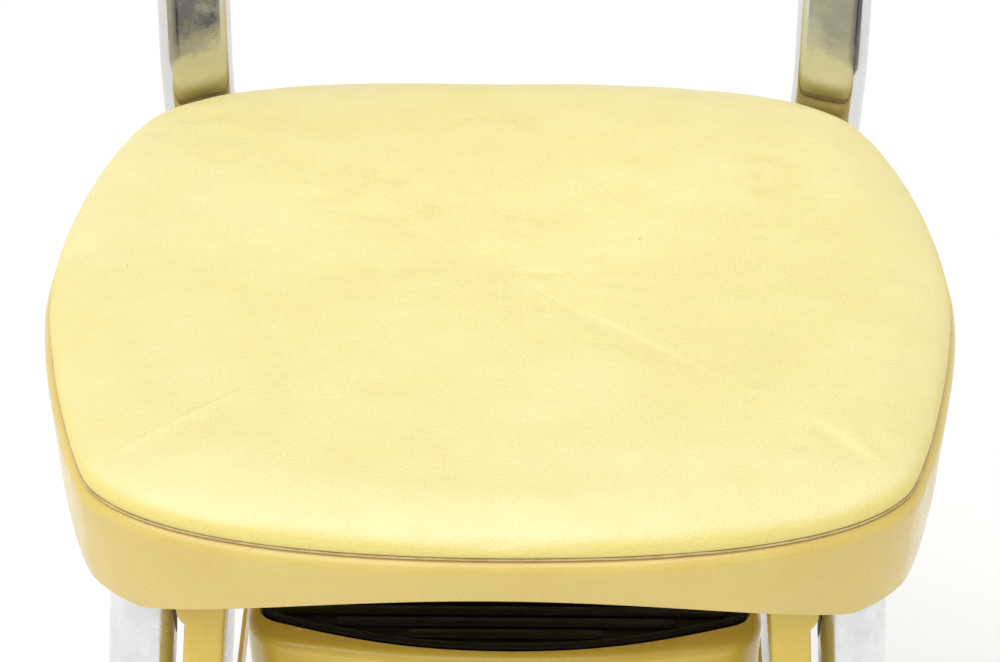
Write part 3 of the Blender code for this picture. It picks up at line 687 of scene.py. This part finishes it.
def upright(name, side):
    """Chromed flat tube: straight by the seat, bent back above it, and domed at its top."""
    tangent = BEND_RADIUS * math.tan(BACK_TILT / 2)
    stations = [(UPRIGHT_Y, UPRIGHT_LOW_Z + share * (BACK_BEND_Z - tangent - UPRIGHT_LOW_Z), 0.0)
                for share in (0, 0.01, 0.5, 0.99)]
    for i in range(13):
        lean = BACK_TILT * i / 12
        stations.append((UPRIGHT_Y + BEND_RADIUS * (1 - math.cos(lean)),
                         BACK_BEND_Z - tangent + BEND_RADIUS * math.sin(lean), lean))
    for reach in (0.03, 0.09, 0.15, UPRIGHT_REACH - UPRIGHT_DOME):
        stations.append((UPRIGHT_Y + reach * math.sin(BACK_TILT), BACK_BEND_Z + reach * math.cos(BACK_TILT),
                         BACK_TILT))
    outer = [upright_ring(*station, side, 0.0) for station in stations]
    for i in range(1, 7):
        angle = math.radians(15 * i)
        reach = UPRIGHT_REACH - UPRIGHT_DOME + UPRIGHT_DOME * math.sin(angle)
        outer.append(upright_ring(UPRIGHT_Y + reach * math.sin(BACK_TILT),
                                  BACK_BEND_Z + reach * math.cos(BACK_TILT), BACK_TILT, side,
                                  UPRIGHT_DOME_INSET * (1 - math.cos(angle))))
    inner = [upright_ring(*station, side, UPRIGHT_WALL) for station in stations]
    put(name + "_tube", skin(list(reversed(inner)) + outer), CHROME_BACK, "frame", (name,))


BACK_LOW_Z = 0.695
BACK_HALF_WIDTH = 0.184
BACK_HALF_HEIGHT = 0.086
BACK_CLEARANCE = 0.0006
BACK_RING_COUNT = 168
BACK_SQUARENESS = 3.4
BACK_CURVE_CENTER_Y = UPRIGHT_Y - (BACK_RADIUS + UPRIGHT_HALF_THICK) * math.cos(UPRIGHT_TURN)


def back_point(across, height, depth):
    """A place on the curved, leaning back rest, depth in front of its rear face."""
    angle = across / BACK_RADIUS
    radius = BACK_RADIUS - BACK_CLEARANCE - depth
    straight = Vector((BACK_OFFSET_X + radius * math.sin(angle),
                       BACK_CURVE_CENTER_Y + radius * math.cos(angle),
                       BACK_LOW_Z + BACK_HALF_HEIGHT + height))
    return BEND_POINT + LEAN @ (straight - BEND_POINT)


def back_ring(inset, depth, share=1.0):
    """A rounded rectangle on the back rest, inset from its outline and shrunk by share."""
    ring = []
    for i in range(BACK_RING_COUNT):
        angle = math.tau * i / BACK_RING_COUNT
        c = math.cos(angle)
        s = math.sin(angle)
        across = (BACK_HALF_WIDTH - inset) * math.copysign(abs(c) ** (2 / BACK_SQUARENESS), c)
        height = (BACK_HALF_HEIGHT - inset) * math.copysign(abs(s) ** (2 / BACK_SQUARENESS), s)
        ring.append(back_point(across * share, height * share, depth))
    return ring


def back_shell():
    """The enamelled steel pan behind the pad: dished, with a rolled hem round its front edge."""
    shares = (0.04, 0.15, 0.3, 0.45, 0.6, 0.75, 0.88)
    rings = [back_ring(0.045, 0.0, share) for share in shares]
    rings += [back_ring(0.045, 0.0), back_ring(0.020, 0.0), back_ring(0.0080, 0.0001)]
    for angle in angles(10, 91, 10):
        rings.append(back_ring(0.0060 * (1 - math.sin(angle)), 0.0060 * (1 - math.cos(angle))))
    rings.append(back_ring(0.0, 0.0120))
    for angle in angles(150, -61, -30):
        rings.append(back_ring(0.0006 - 0.0010 * math.sin(angle), 0.0140 - 0.0012 * math.cos(angle)))
    rings += [back_ring(0.0018, 0.0130), back_ring(0.0014, 0.0065), back_ring(0.0060, 0.0014),
              back_ring(0.045, 0.0014)]
    rings += [back_ring(0.045, 0.0014, share) for share in reversed(shares)]
    put("back_shell", skin(rings, caps="ladder"), ENAMEL, "frame", ("back_pan",))


def back_pad():
    """The vinyl pad of the back rest, rounded over its edges and crowned in the middle."""
    levels = ((0.0030, 0.0162), (0.0024, 0.0178), (0.0021, 0.0196), (0.0022, 0.0214), (0.0029, 0.0232),
              (0.0042, 0.0250), (0.0062, 0.0266), (0.0090, 0.0280), (0.0125, 0.0292), (0.0170, 0.0301))
    rings = [back_ring(0.012, 0.0162)] + [back_ring(inset, depth) for inset, depth in levels]
    for i in range(1, 22):
        share = 1.0 - i / 22
        rings.append(back_ring(0.0170, 0.0301 + 0.0030 * (1 - share**2), share))
    pad = put("back_pad", skin(rings, caps="ladder"), VINYL_BACK, "frame", ("back_cover",),
              sharp=PAD_SHARP)
    held = [v.index for v in pad.data.vertices if v.index < 3 * BACK_RING_COUNT]
    puff(pad, held, 1.4, 0.0010)
    wrinkle(pad, 0.0006)
    finish_pad(pad)


for side_name, side in SIDES:
    upright(f"back_upright_{side_name}", side)
back_shell()
back_pad()

# ---------------------------------------------------------------- step unit
RAIL_TOP_Z = 0.553
RAIL_LOW_Z = 0.0958
RAIL_HEAD_RADIUS = 0.0102
RAIL_HEAD_SHIFT = 0.0018
RAIL_WIDTH = 0.0167
RAIL_DEPTH = 0.0170
RAIL_WALL = 0.0018
RAIL_BEFORE_LEG_AXIS = 0.0179
RAIL_X_AT_TOP = 0.1195
SPLAY = 0.0963
LUG_EXTRA = 0.0062
LINK_LIFT = 0.182 * math.sin(math.radians(96))
PIN_HEIGHTS = (0.352 + LINK_LIFT, 0.130 + LINK_LIFT)
TREAD_OFFSET_X = 0.0032
TREAD_SKIRT = 0.026
LINK_PIN_REACH = 0.024
LUG_SLOPE = 0.012
RAIL_EDGE = 0.0024
REAR_CORNER = 0.012
ROUND_HANDLE = 0.55
TREAD_RIM = 0.0050
TREAD_BOW = 0.008
TREAD_CORNER = 0.020
MAT_INSET = 0.0062
MAT_FRONT_INSET = 0.0072
MAT_REAR_INSET = 0.010
MAT_BOW = 0.0155
MAT_CORNER = 0.008


def rail_outline(inset):
    """The channel seen from in front, as (across, height): straight sides under a bulging head."""
    half = RAIL_WIDTH / 2 - inset
    head = RAIL_HEAD_RADIUS - inset
    head_z = RAIL_TOP_Z - RAIL_HEAD_RADIUS
    outer_join = math.acos((half - RAIL_HEAD_SHIFT) / head)
    inner_join = math.acos(min(1.0, (half + RAIL_HEAD_SHIFT) / head))
    stops = (0.140, 0.200, 0.288, 0.294, 0.300, 0.311, 0.322, 0.328, 0.334, 0.400, 0.490, 0.500, 0.512,
             0.522)
    points = [(half, RAIL_LOW_Z + inset)] + [(half, z) for z in stops]
    for i in range(37):
        angle = -outer_join + (math.pi + outer_join + inner_join) * i / 36
        points.append((RAIL_HEAD_SHIFT + head * math.cos(angle), head_z + head * math.sin(angle)))
    return points + [(-half, z) for z in reversed(stops)] + [(-half, RAIL_LOW_Z + inset)]


def flange_depth(z):
    """The flanges run deeper as lugs round the link pins."""
    for pin in PIN_HEIGHTS:
        away = abs(z - pin)
        if away < LINK_PIN_REACH:
            return RAIL_DEPTH + LUG_EXTRA * min(1.0, (LINK_PIN_REACH - away) / LUG_SLOPE)
    return RAIL_DEPTH


def rail_ring(side, inset, depth):
    ring = []
    for across, z in rail_outline(inset):
        reach = flange_depth(z) if depth is None else depth
        center_x = RAIL_X_AT_TOP + (RAIL_TOP_Z - z) * SPLAY
        front_y = leg_center(FRONT_LEG_TOP, z).y - RAIL_BEFORE_LEG_AXIS
        ring.append(Vector((side * (center_x + across), front_y + reach, z)))
    return ring


def rail(name, side):
    """Pressed channel: rounded front edges, flanges that run back and deepen round the link pins."""
    rings = []
    for angle in angles(0, 91, 15):
        rings.append(rail_ring(side, RAIL_EDGE * (1 - math.sin(angle)), RAIL_EDGE * (1 - math.cos(angle))))
    rings += [rail_ring(side, 0.0, None), rail_ring(side, RAIL_WALL, None),
              rail_ring(side, RAIL_WALL, 0.0036), rail_ring(side, RAIL_WALL + 0.0008, RAIL_WALL + 0.0002)]
    put(name + "_channel", skin(rings), ENAMEL_STEPS_PAINTED_BOUNCE, "step_unit", (name,))


def tread_outline(half_width, front, bow, corner, rear):
    """Plan of a tread: a bowed front, round front corners and small round rear corners."""
    middle = Vector((0, front))
    front_end = Vector((half_width - corner, front + bow))
    front_corner = Vector((half_width, front + bow + corner))
    rear_corner = Vector((half_width, rear - REAR_CORNER))
    rear_end = Vector((half_width - REAR_CORNER, rear))
    front_handle = ROUND_HANDLE * corner
    rear_handle = ROUND_HANDLE * REAR_CORNER
    way = Vector((1, 2 * bow / half_width)).normalized()
    half = bezier(middle, middle + Vector((0.4 * half_width, 0)), front_end - 0.3 * half_width * way,
                  front_end, 24)
    half += bezier(front_end, front_end + front_handle * way, front_corner - Vector((0, front_handle)),
                   front_corner, 16)
    half += [front_corner.lerp(rear_corner, share) for share in (0.0, 0.25, 0.5, 0.75)]
    half += bezier(rear_corner, rear_corner + Vector((0, rear_handle)), rear_end + Vector((rear_handle, 0)),
                   rear_end, 10)
    half += [rear_end, rear_end.lerp(Vector((0, rear)), 0.5), Vector((0, rear))]
    return mirrored(half)


def mat_outline(half_width, front, rear):
    """Plan of the mat and of the recess it lies in, a little inside the tread's own plan."""
    return tread_outline(half_width - MAT_INSET, front + MAT_FRONT_INSET, MAT_BOW, MAT_CORNER,
                         rear - MAT_REAR_INSET)


def tread(name, z, half_width, front, rear):
    """Pressed tray with a rounded rim, a shallow mat recess and a hemmed skirt."""
    edge = tread_outline(half_width, front, TREAD_BOW, TREAD_CORNER, rear)
    mat = mat_outline(half_width, front, rear)

    def ring(outline, grow, rise):
        return [Vector((p.x + TREAD_OFFSET_X, p.y, z + rise)) for p in grown(outline, grow)]

    rings = [ring(mat, 0.0, -0.0046), ring(edge, -0.0040, -0.0048), ring(edge, -0.0014, -0.0066),
             ring(edge, -0.0014, -TREAD_SKIRT + 0.0002), ring(edge, -0.0007, -TREAD_SKIRT),
             ring(edge, 0.0, -TREAD_SKIRT + 0.0002), ring(edge, 0.0, -0.0150)]
    for angle in angles(0, 91, 10):
        rings.append(ring(edge, -TREAD_RIM * (1 - math.cos(angle)), -TREAD_RIM * (1 - math.sin(angle))))
    rings += [ring(mat, 0.0024, 0.0), ring(mat, 0.0016, -0.0002), ring(mat, 0.0010, -0.0008),
              ring(mat, 0.0006, -0.0016), ring(mat, 0.0005, -0.0030)]
    put(name + "_tread_tray", skin(rings), ENAMEL_STEPS_PAINTED_BOUNCE, "step_unit",
        (name + "_tread",))


RIB_PITCH = 0.0068
RIB_WIDTH = 0.0048
RIB_LEAST_WIDTH = 0.0015
RIB_LEAST_REACH = 0.006
RIB_END_GAP = 0.0052
RIB_FIELD_INSET = 0.0040
RIB_LEVELS = ((0.0, -0.0018), (0.0, -0.0005), (0.0003, -0.0001), (0.0009, 0.0))
RIB_END_STEPS = 8


def half_width_at(outline, y):
    """How far the outline reaches to the side at y."""
    widest = 0.0
    for a, b in zip(outline, outline[1:] + outline[:1]):
        if (a.y - y) * (b.y - y) <= 0 and a.y != b.y:
            share = (y - a.y) / (b.y - a.y)
            widest = max(widest, a.x + (b.x - a.x) * share)
    return widest


def rib_ring(reach, near, far, inset, rise):
    """A flat oval across the tread, round at both ends."""
    radius = (far - near) / 2 - inset
    ring = []
    for end, start in ((1, -90), (-1, 90)):
        for i in range(RIB_END_STEPS + 1):
            angle = math.radians(start + 180 * i / RIB_END_STEPS)
            ring.append(Vector((TREAD_OFFSET_X + end * (reach - radius) + radius * math.cos(angle),
                                (near + far) / 2 + radius * math.sin(angle), rise)))
    return ring


def add_rib(bm, rings):
    loops = [[bm.verts.new(point) for point in ring] for ring in rings]
    size = len(loops[0])
    for a, b in zip(loops, loops[1:]):
        for i in range(size):
            j = (i + 1) % size
            bm.faces.new((a[i], a[j], b[j], b[i]))
    bm.faces.new(loops[-1])
    bm.faces.new(list(reversed(loops[0])))


def ribbed_mat(name, z, half_width, front, rear):
    """Moulded rubber: a raised border and flat-topped ribs that run across the tread."""
    mat = mat_outline(half_width, front, rear)

    def ring(grow, rise):
        return [Vector((p.x + TREAD_OFFSET_X, p.y, z + rise)) for p in grown(mat, grow)]

    bm = skin([ring(0.0, -0.0027), ring(0.0, -0.0009), ring(-0.0002, -0.0004), ring(-0.0007, -0.0001),
               ring(-0.0030, -0.0001), ring(-0.0035, -0.0004), ring(-0.0038, -0.0016)])
    low = min(p.y for p in mat) + RIB_FIELD_INSET
    high = max(p.y for p in mat) - RIB_FIELD_INSET
    for i in range(int((high - low) / RIB_PITCH) + 1):
        near = high - RIB_WIDTH - i * RIB_PITCH
        far = near + RIB_WIDTH
        near = max(near, low)
        if far - near < RIB_LEAST_WIDTH:
            continue
        reach = min(half_width_at(mat, near - 0.003), half_width_at(mat, far)) - RIB_END_GAP
        if reach < RIB_LEAST_REACH:
            continue
        add_rib(bm, [rib_ring(reach, near, far, inset, z + rise) for inset, rise in RIB_LEVELS])
    put(name + "_mat_ribbed", bm, RUBBER, "step_unit", (name + "_mat",), sharp=50)


for tread_name, tread_z, wide, tread_front, tread_rear in (
        ("upper", 0.504, 0.112, -0.1545, 0.0275), ("lower", 0.294, 0.131, -0.2205, -0.0205)):
    tread(tread_name, tread_z, wide, tread_front, tread_rear)
    ribbed_mat(tread_name, tread_z, wide, tread_front, tread_rear)
for side_name, side in SIDES:
    rail(f"rail_{side_name}", side)

# ---------------------------------------------------------------- plain CAD pieces get softened edges
for node in frame["nodes"].values():
    weld = node.modifiers.new("weld", "WELD")
    weld.merge_threshold = 1e-6
    bevel = node.modifiers.new("soft_edges", "BEVEL")
    bevel.width = 0.0003
    bevel.segments = 2
    bevel.limit_method = "ANGLE"
    bevel.angle_limit = math.radians(40)
    bevel.use_clamp_overlap = True

# ---------------------------------------------------------------- studio
FLOOR_REACH = 40.0
PAPER_LIGHT = (0.93, 0.93, 0.92)
PAPER_SHADE = (0.90, 0.90, 0.89)
CARD_HALF_WIDTH = 2.4
CARD_Y = -2.3
CARD_LOW_Z = 0.05
CARD_HIGH_Z = 1.15
CARD_DARK = (0.07, 0.07, 0.065)
CARD_STREAK = (0.26, 0.255, 0.24)
CARD_WARM = (0.60, 0.57, 0.42)
LENS = 82.0
SENSOR_WIDTH = 36.0
CAMERA_PLACE = Vector((0.0, -0.8066, 1.2344))
CAMERA_TARGET = Vector((0.0, -0.0505, 0.600))
CAMERA_ROLL = math.radians(0.5)
HORIZON_STRENGTH = 0.74
ZENITH_STRENGTH = 0.32
SUNS = (
    ("top", (-0.7, -0.9, 3.0), 1.75, 60),
    ("side", (-2.6, -1.2, 1.3), 0.18, 40),
    ("overhead", (0.0, 0.15, 3.0), 0.84, 70),
)


def sheet(name, corners, material):
    """A flat four-cornered sheet that belongs to the studio and not to the chair."""
    mesh = bpy.data.meshes.new(name)
    mesh.from_pydata(corners, [], [(0, 1, 2, 3)])
    made = bpy.data.objects.new(name, mesh)
    bpy.context.scene.collection.objects.link(made)
    mesh.materials.append(material)
    return made


def floor():
    """Pale paper, faintly uneven."""
    paint = Paint("floor_paper", PAPER_LIGHT, 0.9)
    uneven = paint.fade(paint.noise(3.0, 2, 0.5), 0.3, 0.7)
    paint.color(paint.mix(uneven, PAPER_LIGHT, PAPER_SHADE))
    far = FLOOR_REACH
    sheet("floor", [(-far, -far, 0), (far, -far, 0), (far, far, 0), (-far, far, 0)], paint.material)


def dark_card():
    """A dark card in front of the chair that only shows in the chrome."""
    card_paint = Paint("dark_card_cloth", CARD_DARK, 1.0)
    streaks = card_paint.fade(card_paint.noise(1.6, 1, 0.4, (1, 1, 0.2)), 0.35, 0.65)
    sides = card_paint.tree.nodes.new("ShaderNodeSeparateXYZ")
    card_paint.tree.links.new(card_paint.place, sides.inputs[0])
    leftward = card_paint.fade(sides.outputs["X"], -1.2, 0.6, 1.0, 0.0)
    dark = card_paint.mix(streaks, CARD_DARK, CARD_STREAK)
    card_paint.color(card_paint.mix(leftward, dark, CARD_WARM))
    left, right, y = -CARD_HALF_WIDTH, CARD_HALF_WIDTH, CARD_Y
    card = sheet("dark_card", [(left, y, CARD_LOW_Z), (right, y, CARD_LOW_Z), (right, y, CARD_HIGH_Z),
                               (left, y, CARD_HIGH_Z)], card_paint.material)
    card.visible_camera = False
    card.visible_diffuse = False
    card.visible_shadow = False


def sky():
    """White surroundings, brightest low down."""
    world = bpy.data.worlds.new("studio")
    world.use_nodes = True
    nodes = world.node_tree.nodes
    wires = world.node_tree.links
    around = nodes.new("ShaderNodeTexCoord")
    axes = nodes.new("ShaderNodeSeparateXYZ")
    height = nodes.new("ShaderNodeMapRange")
    height.inputs["From Min"].default_value = 0.05
    height.inputs["From Max"].default_value = 0.60
    height.inputs["To Min"].default_value = HORIZON_STRENGTH
    height.inputs["To Max"].default_value = ZENITH_STRENGTH
    wires.new(around.outputs["Generated"], axes.inputs[0])
    wires.new(axes.outputs["Z"], height.inputs["Value"])
    wires.new(height.outputs["Result"], nodes["Background"].inputs["Strength"])
    nodes["Background"].inputs["Color"].default_value = (1.0, 1.0, 1.0, 1.0)
    bpy.context.scene.world = world


def suns():
    for name, place, strength, softness in SUNS:
        data = bpy.data.lights.new(name, "SUN")
        data.energy = strength
        data.angle = math.radians(softness)
        lamp = bpy.data.objects.new(name, data)
        lamp.location = place
        lamp.rotation_euler = (-Vector(place)).to_track_quat("-Z", "Y").to_euler()
        bpy.context.scene.collection.objects.link(lamp)


def camera():
    data = bpy.data.cameras.new("camera")
    data.lens = LENS
    data.sensor_width = SENSOR_WIDTH
    data.dof.use_dof = False
    data.clip_end = 20
    made = bpy.data.objects.new("camera", data)
    look = CAMERA_TARGET - CAMERA_PLACE
    turned = look.to_track_quat("-Z", "Y").to_matrix() @ Matrix.Rotation(CAMERA_ROLL, 3, "Z")
    made.matrix_world = Matrix.Translation(CAMERA_PLACE) @ turned.to_4x4()
    bpy.context.scene.collection.objects.link(made)
    bpy.context.scene.camera = made


floor()
dark_card()
sky()
suns()
bpy.context.scene.view_settings.view_transform = "Standard"
camera()
